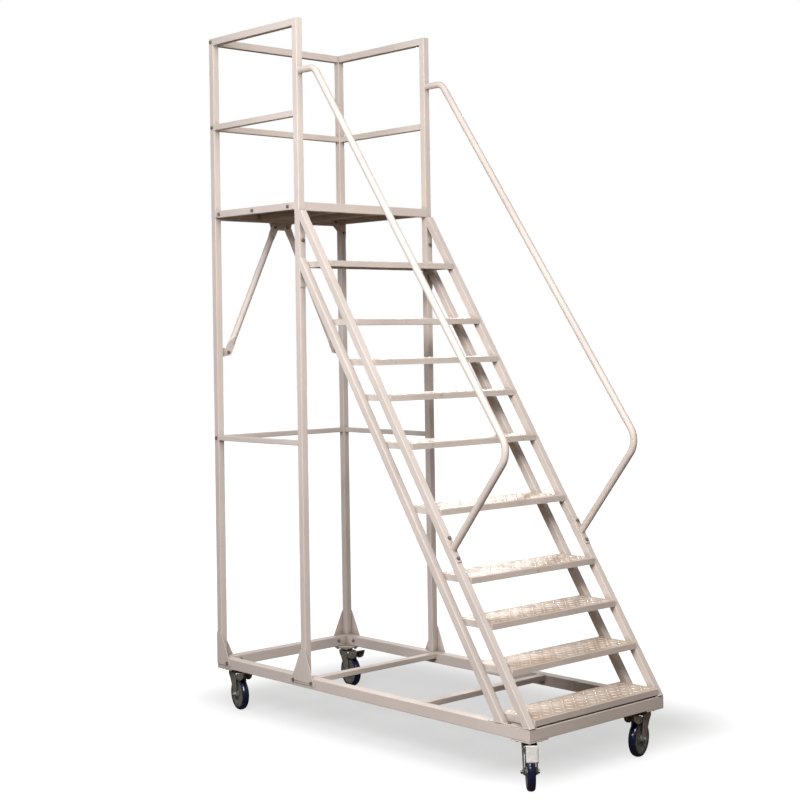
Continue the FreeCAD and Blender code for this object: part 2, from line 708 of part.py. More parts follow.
def caster_plate(side, end):
    """Top plate, upper race and kingpin; these stay with the base frame."""
    half = CASTER_PLATE_SIZE / 2
    x, y = pivot_xy(side, end)
    top = CASTER_PLATE_BOTTOM_Z + CASTER_PLATE
    solid = box(x - half, x + half, y - half, y + half, CASTER_PLATE_BOTTOM_Z, top)
    race = Part.makeCylinder(RACE_RADIUS, RACE_HEIGHT, V(x, y, RACE_BOTTOM_Z))
    rim = [e for e in race.Edges if abs(e.CenterOfMass.z - RACE_BOTTOM_Z) < 0.01]
    race = race.makeFillet(2.5, rim[:1])
    nut_top = CROWN_BOTTOM_Z - 0.5
    pin = Part.makeCylinder(KINGPIN_RADIUS, RACE_BOTTOM_Z - nut_top + 9.0, V(x, y, nut_top - 9.0))
    nut = hex_prism(V(x, y, nut_top - 8.0), V(0, 0, 1), 19.0, 8.0)
    solid = single(solid.fuse([race, pin, nut]))
    return drilled(solid, caster_bolts(side, end))


def fork_leg(face):
    """Cheek of the fork, wide at the crown and tapering back to the axle."""
    y = face * FORK_GAP / 2
    outline = [(-27, CROWN_TOP_Z), (50, CROWN_TOP_Z), (50, 168), (58, 88), (57, 76), (51, 68),
               (41, 67), (33, 73), (30, 82), (-8, 150), (-27, 172)]
    leg = plate([V(s, y, z) for s, z in outline], V(0, face * FORK_SHEET, 0))
    holes = [round_bar(V(CASTER_TRAIL, -60, WHEEL_RADIUS), V(CASTER_TRAIL, 60, WHEEL_RADIUS),
                       AXLE_RADIUS + RUNNING_CLEARANCE),
             round_bar(V(PEDAL_PIVOT[0], -60, PEDAL_PIVOT[1]), V(PEDAL_PIVOT[0], 60, PEDAL_PIVOT[1]),
                       PEDAL_PIN_RADIUS + RUNNING_CLEARANCE)]
    return leg.cut(holes)


def fork():
    """Crown with two cheeks, the wheel axle and the pedal pin."""
    crown = box(-27, 50, -FORK_OUTER, FORK_OUTER, CROWN_BOTTOM_Z, CROWN_TOP_Z)
    dish = Part.makeCylinder(FORK_OUTER, FORK_SHEET, V(0, 0, CROWN_BOTTOM_Z))
    body = crown.fuse([dish, fork_leg(-1), fork_leg(1)])
    kingpin_hole = Part.makeCylinder(KINGPIN_RADIUS + RUNNING_CLEARANCE, 40, V(0, 0, CROWN_BOTTOM_Z - 10))
    body = single(body.cut(kingpin_hole))
    axle = round_bar(V(CASTER_TRAIL, -FORK_OUTER - 11, WHEEL_RADIUS),
                     V(CASTER_TRAIL, FORK_OUTER + 1, WHEEL_RADIUS), AXLE_RADIUS)
    head = hex_prism(V(CASTER_TRAIL, FORK_OUTER, WHEEL_RADIUS), V(0, 1, 0), 18.0, 8.0)
    nut = hex_prism(V(CASTER_TRAIL, -FORK_OUTER, WHEEL_RADIUS), V(0, -1, 0), 18.0, 9.0)
    axle = single(axle.fuse([head, nut]))
    pin = round_bar(V(PEDAL_PIVOT[0], -FORK_OUTER - 2, PEDAL_PIVOT[1]),
                    V(PEDAL_PIVOT[0], FORK_OUTER + 2, PEDAL_PIVOT[1]), PEDAL_PIN_RADIUS)
    pin_heads = [round_bar(V(PEDAL_PIVOT[0], f * FORK_OUTER, PEDAL_PIVOT[1]),
                           V(PEDAL_PIVOT[0], f * (FORK_OUTER + 2.5), PEDAL_PIVOT[1]), 6.5) for f in (-1, 1)]
    pin = single(pin.fuse(pin_heads))
    return group([body, axle, pin])


def revolved_about_axle(profile):
    """Revolve (radius, across) points about the wheel axle."""
    points = [V(CASTER_TRAIL + r, t, WHEEL_RADIUS) for r, t in profile]
    face = Part.Face(Part.makePolygon(points + points[:1]))
    return face.revolve(V(CASTER_TRAIL, 0, WHEEL_RADIUS), V(0, 1, 0), 360)


def wheel_hub():
    """Moulded hub: boss, dished web and rim with a step ring."""
    bore = AXLE_RADIUS + RUNNING_CLEARANCE
    boss = FORK_GAP / 2 - 1.0
    half = [(bore, boss), (16.0, boss), (18.0, 13.0), (40.0, 10.5), (44.0, 13.0), (48.0, 13.0),
            (51.0, 15.0), (HUB_RADIUS, 15.0)]
    mirrored = [(r, -t) for r, t in reversed(half)]
    return revolved_about_axle(half + mirrored)


def tyre():
    """Polyurethane tread ring with rounded shoulders."""
    half = TYRE_WIDTH / 2
    shoulder = [(HUB_RADIUS, half - 2.0), (HUB_RADIUS + 3.0, half), (WHEEL_RADIUS - 8.0, half - 0.5),
                (WHEEL_RADIUS - 4.0, half - 3.0), (WHEEL_RADIUS - 1.3, half - 8.0), (WHEEL_RADIUS, half - 14.0)]
    mirrored = [(r, -t) for r, t in reversed(shoulder)]
    return revolved_about_axle(shoulder + mirrored)


def pedal():
    """Stamped brake lever: flanges on the pin, a roof rising over the wheel to a tip, and a shoe."""
    half = PEDAL_WIDTH / 2
    s0, z0 = PEDAL_PIVOT
    sheet = PEDAL_SHEET
    crest = [(s0 + 9, z0 + 4), (54, 180), (66, 185.5), (88, 188), (108, 189), (124, 193), (135, 199), (141, 205)]
    under = [(s, z - sheet) for s, z in reversed(crest)]
    roof = plate([V(s, -half, z) for s, z in crest + under], V(0, PEDAL_WIDTH, 0))
    flange = crest + [(137, 190), (127, 171), (106, 159), (80, 153), (56, 156), (s0 + 7, z0 - 8),
                      (s0 - 7, z0 - 8), (s0 - 8, z0 + 4)]
    pieces = []
    for face in (-1, 1):
        points = [V(s, face * half, z) for s, z in flange]
        pieces.append(plate(points, V(0, -face * sheet, 0)))
    shoe = [(48, 164), (74, 158.5), (74, 185), (66, 184.5), (54, 179), (48, 176)]
    pieces.append(plate([V(s, -half, z) for s, z in shoe], V(0, PEDAL_WIDTH, 0)))
    pin_hole = round_bar(V(s0, -60, z0), V(s0, 60, z0), PEDAL_PIN_RADIUS + RUNNING_CLEARANCE)
    return single(roof.fuse(pieces).cut(pin_hole))


def placed(shape, side, end, heading):
    """Copy of a caster piece at a base corner, trailing towards heading degrees."""
    copy = shape.copy()
    x, y = pivot_xy(side, end)
    copy.Placement = FreeCAD.Placement(V(x, y, 0), FreeCAD.Rotation(V(0, 0, 1), heading))
    return copy


def make_casters(parts):
    pieces = {"fork": fork(), "hub": wheel_hub(), "tyre": tyre(), "brake_pedal": pedal()}
    for name, side, end in corners():
        heading = CASTER_HEADINGS[name]
        for piece_name, piece in pieces.items():
            parts["caster_%s_%s" % (piece_name, name)] = placed(piece, side, end, heading)
    parts["caster_plates"] = group([caster_plate(side, end) for _, side, end in corners()])


def middle_of(shapes):
    """Middle of the box around all the shapes, on the floor, to the nearest millimetre."""
    whole = FreeCAD.BoundBox()
    for shape in shapes:
        whole.add(shape.BoundBox)
    return V(round(whole.Center.x), round(whole.Center.y), 0)


def main():
    parts = {}
    make_tower(parts)
    make_platform(parts)
    make_brace(parts)
    make_base(parts)
    make_stair(parts)
    make_handrails(parts)
    make_bolts(parts)
    make_casters(parts)
    middle = middle_of(parts.values())
    print("moved by", -middle.x, -middle.y)
    os.makedirs("parts", exist_ok=True)
    for name, shape in parts.items():
        shape.translate(middle * -1)
        shape.exportStep("parts/%s.step" % name)
        print(name, len(shape.Solids), "%.1f" % (shape.Volume / 1000), shape.isValid())


main()
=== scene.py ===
"""Looks of the mobile ladder stand: powder coat, chequered treads, weld beads, zinc and navy casters.

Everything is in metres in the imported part's own frame: +Z up, the stair climbs towards +Y.
"""
import json
import math
import random

import bpy
from mathutils import Matrix, Vector


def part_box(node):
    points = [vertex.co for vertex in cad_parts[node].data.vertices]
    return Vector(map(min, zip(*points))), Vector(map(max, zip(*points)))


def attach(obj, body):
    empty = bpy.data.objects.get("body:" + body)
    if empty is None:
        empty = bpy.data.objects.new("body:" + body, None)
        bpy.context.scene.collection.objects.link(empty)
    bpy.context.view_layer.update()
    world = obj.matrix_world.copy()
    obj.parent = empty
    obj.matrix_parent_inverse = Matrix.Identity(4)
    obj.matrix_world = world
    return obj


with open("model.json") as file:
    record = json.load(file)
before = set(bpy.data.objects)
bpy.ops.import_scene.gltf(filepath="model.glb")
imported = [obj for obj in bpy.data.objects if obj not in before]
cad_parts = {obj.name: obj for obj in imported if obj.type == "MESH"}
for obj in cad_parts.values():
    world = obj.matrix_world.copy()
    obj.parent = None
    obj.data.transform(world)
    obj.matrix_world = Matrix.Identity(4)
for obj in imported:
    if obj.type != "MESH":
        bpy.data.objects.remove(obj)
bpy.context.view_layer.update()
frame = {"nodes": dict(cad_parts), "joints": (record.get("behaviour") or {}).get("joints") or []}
NODES = frame["nodes"]
JOINTS = {joint["name"]: joint for joint in frame["joints"]}
TREADS = ["tread_%02d" % number for number in range(1, 11)]
SIDES = {"left": -1, "right": 1}
ACROSS = Vector((1.0, 0.0, 0.0))
UP = Vector((0.0, 0.0, 1.0))
# middle of the base frame, dropped to the floor
STAND = (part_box("base_rail_left")[0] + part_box("base_rail_right")[1]) / 2
STAND.z = 0.0

# ---- paint and metal colours, as 0-255 display values ----
PAINT = (225, 214, 205)
# dirt on the paint, and the painted shade in its corners
PAINT_GRIME_AND_SHADE = (118, 100, 88)
TREAD_TOP = (224, 206, 190)
TREAD_WORN = (206, 180, 154)
# pale lug crowns: partly scuffs, partly painted glints
LUG_SCUFF_AND_GLINT = (240, 230, 218)
# paler edges: partly wear, partly a painted edge highlight
PALE_EDGE_WEAR_AND_HIGHLIGHT = (232, 226, 221)
ZINC = (186, 184, 176)
ZINC_DARK = (110, 108, 100)
ZINC_BOLT = (176, 166, 154)
# painted shade in the corners of zinc parts
ZINC_CORNER_SHADE = (40, 38, 34)
HUB = (124, 124, 116)
# painted shade in the hub's corners
HUB_CORNER_SHADE = (38, 38, 34)
TYRE = (10, 19, 56)
TYRE_DUST = (70, 78, 112)
LABEL = (236, 234, 228)

# ---- small rounding of the edges of CAD pieces, by the start of the node's name ----
EDGE_ROUNDING = {
    "post_gussets": 0.0012,
    "base_corner_plates": 0.0012,
    "rear_brackets": 0.0010,
    "stair_plates": 0.0010,
    "handrail_feet": 0.0010,
    "caster_plates": 0.0010,
    "caster_brake_pedal": 0.0008,
    "caster_fork": 0.0008,
    "frame_bolts": 0.0006,
    "caster_bolts": 0.0006,
}
MERGE_DISTANCE = 0.00002
SHARP_ANGLE = math.radians(40.0)

# ---- chequer lugs ----
LUG_PITCH = 0.036
LUG_LENGTH = 0.031
LUG_WIDTH = 0.0120
LUG_HEIGHT = 0.0020
LUG_MARGIN = 0.014          # plain border of the sheet
LUG_SUNK = 0.0004           # depth of a lug's underside in the sheet
LUG_TIP = 0.0004            # half width left at a lug's pointed ends
LUG_ROWS = 8
LUG_COLUMNS = 4

# ---- weld beads ----
BEAD_RADIUS = 0.0022
BEAD_STEP = 0.0028          # length of one ripple
BEAD_SIDES = 8
BEAD_HOLLOW = 0.84          # radius between two ripples, as a share of the radius
BEAD_TAPER = 0.35           # radius at both ends of a run
BEAD_SPREAD = 0.08          # random change of the radius
TREAD_WELD_MARGIN = 0.003
FOOT_WELD_OFFSET = 0.002    # from the middle of a handrail's foot strip to its upper face

# ---- blank card on the front left pedal ----
LABEL_HALF_WIDTH = 0.0255
LABEL_THICKNESS = 0.0004
LABEL_RISE = 0.005          # length standing above the pedal's tip
LABEL_DROP = 0.064          # length hanging down from the tip
LABEL_GAP = 0.0006          # between card and pedal
LABEL_CURL = 0.0045         # how far the lower end stands out
LABEL_BOW = 0.0010          # how far the side edges bend back
LABEL_ROWS = 11
LABEL_COLUMNS = 6

# ---- floor and backdrop ----
FLOOR_HALF_SIZE = 40.0
SHADE_PLACE = Vector((0.37, 0.2, 0.0))      # middle of the shaded patch, from the middle of the stand
SHADE_HALF_SIZE = Vector((0.43, 0.85, 0.0))
FLOOR_SHADE = 0.56          # glow of the floor under the stand
FLOOR_FADE = 0.75           # metres over which the shade fades out
FLOOR_FAR = 1.05            # glow far away, past pure white so that no horizon shows
FLOOR_MATT = (0.16, 0.16, 0.16, 1)
FLOOR_BOUNCE = (0.105, 0.073, 0.055, 1)
DOME_LOW = (0.10, 0.076, 0.062, 1)
DOME_HIGH = (0.60, 0.60, 0.61, 1)
DOME_RISE = (-0.25, 0.55)   # heights between which the dome turns from low to high colour
DOME_STRENGTH = 0.50

# ---- camera, from the middle of the stand ----
CAMERA_PLACE = (-5.0755, -5.4284, 1.8554)
CAMERA_YAW = math.radians(-42.341)
CAMERA_PITCH = math.radians(0.240)
CAMERA_ROLL = math.radians(-0.8845)
CAMERA_SENSOR = 36.0
CAMERA_LENS = 70.78
CAMERA_SHIFT = -0.0875


def linear(colour, dim=1.0):
    """Display values 0-255, dimmed, as a linear RGBA tuple."""
    channels = [c * dim / 255.0 for c in colour]
    return tuple(c / 12.92 if c <= 0.04045 else ((c + 0.055) / 1.055) ** 2.4 for c in channels) + (1.0,)


# ---- shader building ----
class Graph:
    """One material's node tree, with short calls for the nodes used here."""

    def __init__(self, name):
        self.material = bpy.data.materials.new(name)
        self.material.use_nodes = True
        self.tree = self.material.node_tree
        self.tree.nodes.clear()
        self.output = self.add("ShaderNodeOutputMaterial")
        self.position = self.add("ShaderNodeTexCoord").outputs["Object"]

    def add(self, kind, inputs=None, **settings):
        node = self.tree.nodes.new(kind)
        for key, value in settings.items():
            setattr(node, key, value)
        for key, value in (inputs or {}).items():
            self.feed(node.inputs[key], value)
        return node

    def feed(self, socket, value):
        if isinstance(value, bpy.types.NodeSocket):
            self.tree.links.new(value, socket)
        else:
            socket.default_value = value

    def math(self, operation, a, b=0.0):
        return self.add("ShaderNodeMath", {0: a, 1: b}, operation=operation).outputs[0]

    def vector_math(self, operation, a, b=None, result="Vector"):
        inputs = {0: a} if b is None else {0: a, 1: b}
        return self.add("ShaderNodeVectorMath", inputs, operation=operation).outputs[result]

    def mix(self, factor, a, b):
        return self.add("ShaderNodeMix", {0: factor, 6: a, 7: b}, data_type="RGBA").outputs[2]

    def ramp(self, value, low, high, to_low=0.0, to_high=1.0):
        limits = {"From Min": low, "From Max": high, "To Min": to_low, "To Max": to_high}
        inputs = {"Value": value, **limits}
        return self.add("ShaderNodeMapRange", inputs, clamp=True, interpolation_type="SMOOTHSTEP").outputs[0]

    def noise(self, scale, detail=3.0, stretch=None, roughness=0.55):
        vector = self.vector_math("MULTIPLY", self.position, stretch) if stretch else self.position
        inputs = {"Vector": vector, "Scale": scale, "Detail": detail, "Roughness": roughness}
        return self.add("ShaderNodeTexNoise", inputs).outputs["Fac"]

    def patches(self, scale, start, full, weight=1.0, detail=4.0, **noise):
        """Mask with cloudy patches: 0 where the noise is below start, weight where it is above full."""
        return self.ramp(self.noise(scale, detail, **noise), start, full, 0.0, weight)

    def varied(self, scale, low, high, detail=4.0):
        """Cloudy change between two values."""
        return self.ramp(self.noise(scale, detail), 0.3, 0.7, low, high)

    def grain(self, scale, strength, depth, detail=2.0, stretch=None, under=None):
        """Fine bumps over the surface, or over the bumps given as under."""
        height = self.noise(scale, detail, stretch)
        inputs = {"Height": height, "Strength": strength, "Distance": depth}
        if under:
            inputs["Normal"] = under
        return self.add("ShaderNodeBump", inputs).outputs[0]

    def normal(self):
        return self.add("ShaderNodeNewGeometry").outputs["Normal"]

    def edges(self, radius):
        """1 on sharp convex or concave edges, 0 on flat surface."""
        rounded = self.add("ShaderNodeBevel", {"Radius": radius}, samples=4).outputs[0]
        return self.ramp(self.vector_math("DOT_PRODUCT", rounded, self.normal(), "Value"), 0.985, 0.80)

    def corner_shade_mask(self, distance):
        """1 deep in corners, 0 in the open."""
        ao = self.add("ShaderNodeAmbientOcclusion", {"Distance": distance}, samples=4).outputs["AO"]
        return self.ramp(ao, 0.95, 0.35)

    def upward(self):
        """1 on surfaces that face up."""
        z = self.add("ShaderNodeSeparateXYZ", {0: self.normal()}).outputs["Z"]
        return self.ramp(z, 0.55, 0.9)

    # Painted shade: the colour darkens towards dark where ambient occlusion finds corners, recesses and
    # gaps.
    def paint_corner_shade(self, colour, dark, distance, weight):
        return self.mix(self.math("MULTIPLY", self.corner_shade_mask(distance), weight), colour, linear(dark))

    def rub_and_highlight_edges(self, colour, radius, weight, patches):
        """Paler paint on the edges, only in patches: partly rubbed wear, partly a painted edge highlight."""
        rubbed = self.math("MULTIPLY", self.edges(radius), patches)
        return self.mix(self.math("MULTIPLY", rubbed, weight), colour, linear(PALE_EDGE_WEAR_AND_HIGHLIGHT))

    def surface(self, **inputs):
        names = {key.replace("_", " "): value for key, value in inputs.items()}
        shader = self.add("ShaderNodeBsdfPrincipled", names)
        self.feed(self.output.inputs["Surface"], shader.outputs[0])
        return self.material


def powder_coat(name, square):
    """Warm ivory powder coat: orange peel and faint clouding; square tube also has painted shade in its
    corners and thin paler edges, part wear and part painted highlight, which would only speckle a round
    tube."""
    g = Graph(name)
    colour = g.mix(g.patches(2.2, 0.35, 0.7), linear(PAINT), linear(PAINT, 0.955))
    if square:
        scuffs = g.patches(34.0, 0.6, 0.75, weight=0.22, detail=6.0, roughness=0.7)
        colour = g.mix(scuffs, colour, linear(PAINT_GRIME_AND_SHADE))
        # painted shade in corners and recesses
        colour = g.paint_corner_shade(colour, PAINT_GRIME_AND_SHADE, distance=0.035, weight=0.6)
        # paler edges in patches: partly wear, partly a painted edge highlight
        colour = g.rub_and_highlight_edges(colour, radius=0.0018, weight=0.6, patches=g.patches(60.0, 0.42, 0.62))
        peel = g.grain(420.0, strength=0.10, depth=0.0003)
    else:
        marks = g.patches(11.0, 0.62, 0.8, weight=0.15, detail=2.0)
        colour = g.mix(marks, colour, linear(PAINT_GRIME_AND_SHADE))
        peel = g.grain(28.0, strength=0.08, depth=0.0005, detail=1.0)
    rough = g.varied(9.0, 0.48, 0.60, detail=3.0)
    return g.surface(Base_Color=colour, Roughness=rough, Normal=peel, Specular_IOR_Level=0.45,
                     Coat_Weight=0.1, Coat_Roughness=0.3)


def tread_coat():
    """The same paint on the treads, worn to a glossy tan where feet have polished the top."""
    g = Graph("tread_coat")
    side = g.mix(g.patches(3.0, 0.35, 0.7, detail=5.0), linear(PAINT), linear(PAINT, 0.94))
    top = g.mix(g.patches(7.0, 0.35, 0.68, detail=5.0), linear(TREAD_TOP), linear(TREAD_WORN))
    top_side = g.upward()
    colour = g.mix(top_side, side, top)
    streaks = g.patches(26.0, 0.56, 0.74, weight=0.35, detail=6.0, stretch=(1.0, 3.5, 1.0), roughness=0.7)
    colour = g.mix(streaks, colour, linear(PAINT_GRIME_AND_SHADE))
    # painted shade in corners and recesses
    colour = g.paint_corner_shade(colour, PAINT_GRIME_AND_SHADE, distance=0.025, weight=0.5)
    # paler edges and noses in patches: partly wear, partly a painted edge highlight
    colour = g.rub_and_highlight_edges(colour, radius=0.002, weight=0.7, patches=g.patches(45.0, 0.4, 0.6))
    peel = g.grain(380.0, strength=0.2, depth=0.0004)
    dents = g.grain(18.0, strength=0.35, depth=0.002, detail=3.0, under=peel)
    dull_sides = g.math("MULTIPLY", g.math("SUBTRACT", 1.0, top_side), 0.24)
    rough = g.math("ADD", dull_sides, g.varied(14.0, 0.22, 0.38))
    return g.surface(Base_Color=colour, Roughness=rough, Normal=dents, Specular_IOR_Level=0.5,
                     Coat_Weight=g.math("MULTIPLY", top_side, 0.3), Coat_Roughness=0.15)


def lug_coat():
    """The raised lugs of the treads, polished smooth; their pale patches are partly scuffs and partly
    painted glints.
    """
    g = Graph("lug_coat")
    # pale patches stand partly for scuffs and partly for painted glints on the lugs
    scuff_and_glint = g.patches(90.0, 0.42, 0.66, detail=5.0, roughness=0.7)
    colour = g.mix(scuff_and_glint, linear(LUG_SCUFF_AND_GLINT), linear(TREAD_TOP))
    colour = g.mix(g.patches(7.0, 0.52, 0.7, weight=0.5), colour, linear(TREAD_WORN))
    scratches = g.grain(260.0, strength=0.2, depth=0.0004, detail=3.0)
    return g.surface(Base_Color=colour, Roughness=g.varied(40.0, 0.14, 0.30), Normal=scratches,
                     Coat_Weight=0.5, Coat_Roughness=0.1)


def zinc_plate(name, tint, rough_low, rough_high):
    """Bright zinc plate: faint spangle, dull patches, painted shade in the corners."""
    g = Graph(name)
    spangle = g.add("ShaderNodeTexVoronoi", {"Vector": g.position, "Scale": 160.0}).outputs["Color"]
    tone = g.add("ShaderNodeSeparateColor", {0: spangle}).outputs[0]
    colour = g.mix(g.math("MULTIPLY", tone, 0.35), linear(tint), linear(tint, 0.8))
    colour = g.mix(g.patches(40.0, 0.5, 0.75, detail=5.0), colour, linear(ZINC_DARK))
    # painted shade in the corners, such as the ring round a bolt head
    colour = g.paint_corner_shade(colour, ZINC_CORNER_SHADE, distance=0.012, weight=0.75)
    brushed = g.grain(300.0, strength=0.15, depth=0.0003, detail=3.0, stretch=(1.0, 1.0, 4.0))
    return g.surface(Base_Color=colour, Metallic=0.65, Roughness=g.varied(70.0, rough_low, rough_high),
                     Normal=brushed)


def hub_plastic():
    """Grey moulded hub with a dusty, slightly rough face."""
    g = Graph("hub_plastic")
    colour = g.mix(g.patches(55.0, 0.4, 0.7, detail=5.0), linear(HUB), linear(HUB, 0.72))
    # painted shade in the hub's corners
    colour = g.paint_corner_shade(colour, HUB_CORNER_SHADE, distance=0.012, weight=0.6)
    return g.surface(Base_Color=colour, Roughness=g.varied(90.0, 0.38, 0.55, detail=3.0),
                     Normal=g.grain(700.0, strength=0.25, depth=0.0003))


def tyre_polyurethane():
    """Glossy navy polyurethane with a little floor dust on the tread."""
    g = Graph("tyre_polyurethane")
    dust = g.patches(48.0, 0.52, 0.74, weight=0.45, detail=6.0, roughness=0.7)
    return g.surface(Base_Color=g.mix(dust, linear(TYRE), linear(TYRE_DUST)),
                     Roughness=g.varied(60.0, 0.14, 0.34), Coat_Weight=0.5, Coat_Roughness=0.08,
                     Normal=g.grain(220.0, strength=0.12, depth=0.0004))


def label_paper():
    """Blank white sticker with slightly duller patches."""
    g = Graph("label_paper")
    colour = g.mix(g.patches(60.0, 0.45, 0.75), linear(LABEL), linear(LABEL, 0.9))
    return g.surface(Base_Color=colour, Roughness=0.42, Normal=g.grain(500.0, strength=0.1, depth=0.0002))


PAINT_MATERIAL = powder_coat("powder_coat", True)
ROUND_MATERIAL = powder_coat("powder_coat_round", False)
TREAD_MATERIAL = tread_coat()
LUG_MATERIAL = lug_coat()
ZINC_MATERIAL = zinc_plate("zinc_plate", ZINC, 0.24, 0.42)
BOLT_MATERIAL = zinc_plate("zinc_bolt", ZINC_BOLT, 0.22, 0.38)
HUB_MATERIAL = hub_plastic()
TYRE_MATERIAL = tyre_polyurethane()
LABEL_MATERIAL = label_paper()

# the first start that fits a node's name decides its material; all other nodes are painted tube and plate
NODE_MATERIALS = {
    "tread_": TREAD_MATERIAL,
    "platform_deck": TREAD_MATERIAL,
    "caster_hub": HUB_MATERIAL,
    "caster_tyre": TYRE_MATERIAL,
    "frame_bolts": BOLT_MATERIAL,
    "caster_bolts": BOLT_MATERIAL,
    "caster_": ZINC_MATERIAL,
    "handrail_left": ROUND_MATERIAL,
    "handrail_right": ROUND_MATERIAL,
    "brace_strut": ROUND_MATERIAL,
}


def material_of(node):
    for start, material in NODE_MATERIALS.items():
        if node.startswith(start):
            return material
    return PAINT_MATERIAL


def soften(obj, width):
    """Round the sharp edges: merge the split corners, then bevel them."""
    weld = obj.modifiers.new("merge", "WELD")
    weld.merge_threshold = MERGE_DISTANCE
    bevel = obj.modifiers.new("round", "BEVEL")
    bevel.width = width
    bevel.segments = 2
    bevel.limit_method = "ANGLE"
    bevel.angle_limit = SHARP_ANGLE
    bevel.use_clamp_overlap = True


def dress_cad_nodes():
    for name, obj in NODES.items():
        for material_slot in obj.material_slots:
            material_slot.material = material_of(name)
        for start, width in EDGE_ROUNDING.items():
            if name.startswith(start):
                soften(obj, width)


# ---- geometry helpers ----
def add_piece(name, vertices, faces, material, body):
    mesh = bpy.data.meshes.new(name)
    mesh.from_pydata(vertices, [], faces)
    mesh.validate()
    mesh.materials.append(material)
    mesh.polygons.foreach_set("use_smooth", [True] * len(mesh.polygons))
    obj = bpy.data.objects.new(name, mesh)
    bpy.context.scene.collection.objects.link(obj)
    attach(obj, body)
    return obj


def grid_faces(rows, columns):
    """Quads of a sheet of (rows + 1) x (columns + 1) points."""
    row = columns + 1
    corners = [i * row + j for i in range(rows) for j in range(columns)]
    return [(a, a + row, a + row + 1, a + 1) for a in corners]


def grid_rim(rows, columns):
    """Border points of the same sheet, once round."""
    row = columns + 1
    rim = list(range(row))
    rim += [i * row + columns for i in range(1, rows + 1)]
    rim += [rows * row + j for j in range(columns - 1, -1, -1)]
    rim += [i * row for i in range(rows - 1, 0, -1)]
    return rim


def solids_of(node):
    """Boxes (low, high) of the separate solids of a CAD node."""
    mesh = NODES[node].data
    parent = {}

    def find(key):
        while parent[key] != key:
            parent[key] = parent[parent[key]]
            key = parent[key]
        return key

    keys = [tuple(round(c, 5) for c in v.co) for v in mesh.vertices]
    for key in keys:
        parent.setdefault(key, key)
    for polygon in mesh.polygons:
        first = find(keys[polygon.vertices[0]])
        for index in polygon.vertices[1:]:
            parent[find(keys[index])] = first
    groups = {}
    for key in parent:
        groups.setdefault(find(key), []).append(key)
    boxes = []
    for points in groups.values():
        low = Vector([min(p[axis] for p in points) for axis in range(3)])
        high = Vector([max(p[axis] for p in points) for axis in range(3)])
        boxes.append((low, high))
    return sorted(boxes, key=lambda pair: tuple(pair[0]))


# ---- chequer lugs ----
def lug(center, angle):
    """Closed lens-shaped lug; its flat underside is sunk a little into the sheet."""
    vertices = []
    turn = Matrix.Rotation(angle, 3, "Z")
    for i in range(LUG_ROWS + 1):
        u = 2.0 * i / LUG_ROWS - 1.0
        half_width = LUG_WIDTH / 2 * (1.0 - u * u) + LUG_TIP
        for j in range(LUG_COLUMNS + 1):
            v = 2.0 * j / LUG_COLUMNS - 1.0
            height = LUG_HEIGHT * math.sqrt(max(0.0, 1.0 - u * u)) * (1.0 - v * v)
            point = turn @ Vector((u * LUG_LENGTH / 2, v * half_width, height - LUG_SUNK))
            vertices.append(center + point)
    return vertices, grid_faces(LUG_ROWS, LUG_COLUMNS) + [tuple(grid_rim(LUG_ROWS, LUG_COLUMNS))]


def chequer(name, low, high):
    """Lugs over the top of a sheet, turned alternately 45 degrees each way."""
    vertices = []
    faces = []
    border = 2 * LUG_MARGIN + LUG_LENGTH
    count_x = int((high.x - low.x - border) / LUG_PITCH) + 1
    count_y = int((high.y - low.y - border) / LUG_PITCH) + 1
    middle = (low + high) / 2
    for i in range(count_x):
        for j in range(count_y):
            x = middle.x + (i - (count_x - 1) / 2) * LUG_PITCH
            y = middle.y + (j - (count_y - 1) / 2) * LUG_PITCH
            angle = math.radians(45.0 if (i + j) % 2 else -45.0)
            new_vertices, new_faces = lug(Vector((x, y, high.z)), angle)
            start = len(vertices)
            vertices += new_vertices
            faces += [tuple(start + index for index in face) for face in new_faces]
    return add_piece(name, vertices, faces, LUG_MATERIAL, "frame")


def make_chequer():
    for node in TREADS + ["platform_deck"]:
        chequer(node + "_lugs", *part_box(node))


# ---- weld beads ----
class Beads:
    """Collects rippled weld beads into one mesh."""

    def __init__(self, seed):
        self.vertices = []
        self.faces = []
        self.random = random.Random(seed)

    def run(self, points, closed=False):
        """A bead along the polyline through points."""
        if closed:
            points = points + points[:1]
        for start, end in zip(points, points[1:]):
            self.straight(start, end)

    def straight(self, start, end):
        axis = (end - start).normalized()
        side = axis.orthogonal().normalized()
        up = axis.cross(side)
        steps = max(3, int((end - start).length / BEAD_STEP))
        base = len(self.vertices)
        for i in range(steps + 1):
            center = start.lerp(end, i / steps)
            swell = 1.0 if i % 2 else BEAD_HOLLOW
            taper = BEAD_TAPER if i in (0, steps) else 1.0
            radius = BEAD_RADIUS * taper * swell * self.random.uniform(1.0 - BEAD_SPREAD, 1.0 + BEAD_SPREAD)
            self.vertices += ring_points(center, radius, side, up, BEAD_SIDES)
        for i in range(steps):
            for k in range(BEAD_SIDES):
                a = base + i * BEAD_SIDES + k
                b = base + i * BEAD_SIDES + (k + 1) % BEAD_SIDES
                self.faces.append((a, b, b + BEAD_SIDES, a + BEAD_SIDES))
        self.faces.append(tuple(base + k for k in reversed(range(BEAD_SIDES))))
        self.faces.append(tuple(base + steps * BEAD_SIDES + k for k in range(BEAD_SIDES)))

    def tube_end(self, low, high, axis, at):
        """A bead round the section of a box-shaped tube where it meets a face at axis = at."""
        others = [k for k in range(3) if k != axis]
        points = []
        for a, b in ((0, 0), (1, 0), (1, 1), (0, 1)):
            point = Vector((0.0, 0.0, 0.0))
            point[axis] = at
            point[others[0]] = (low, high)[a][others[0]]
            point[others[1]] = (low, high)[b][others[1]]
            points.append(point)
        self.run(points, closed=True)

    def finish(self, name):
        obj = add_piece(name, self.vertices, self.faces, PAINT_MATERIAL, "frame")
        return obj


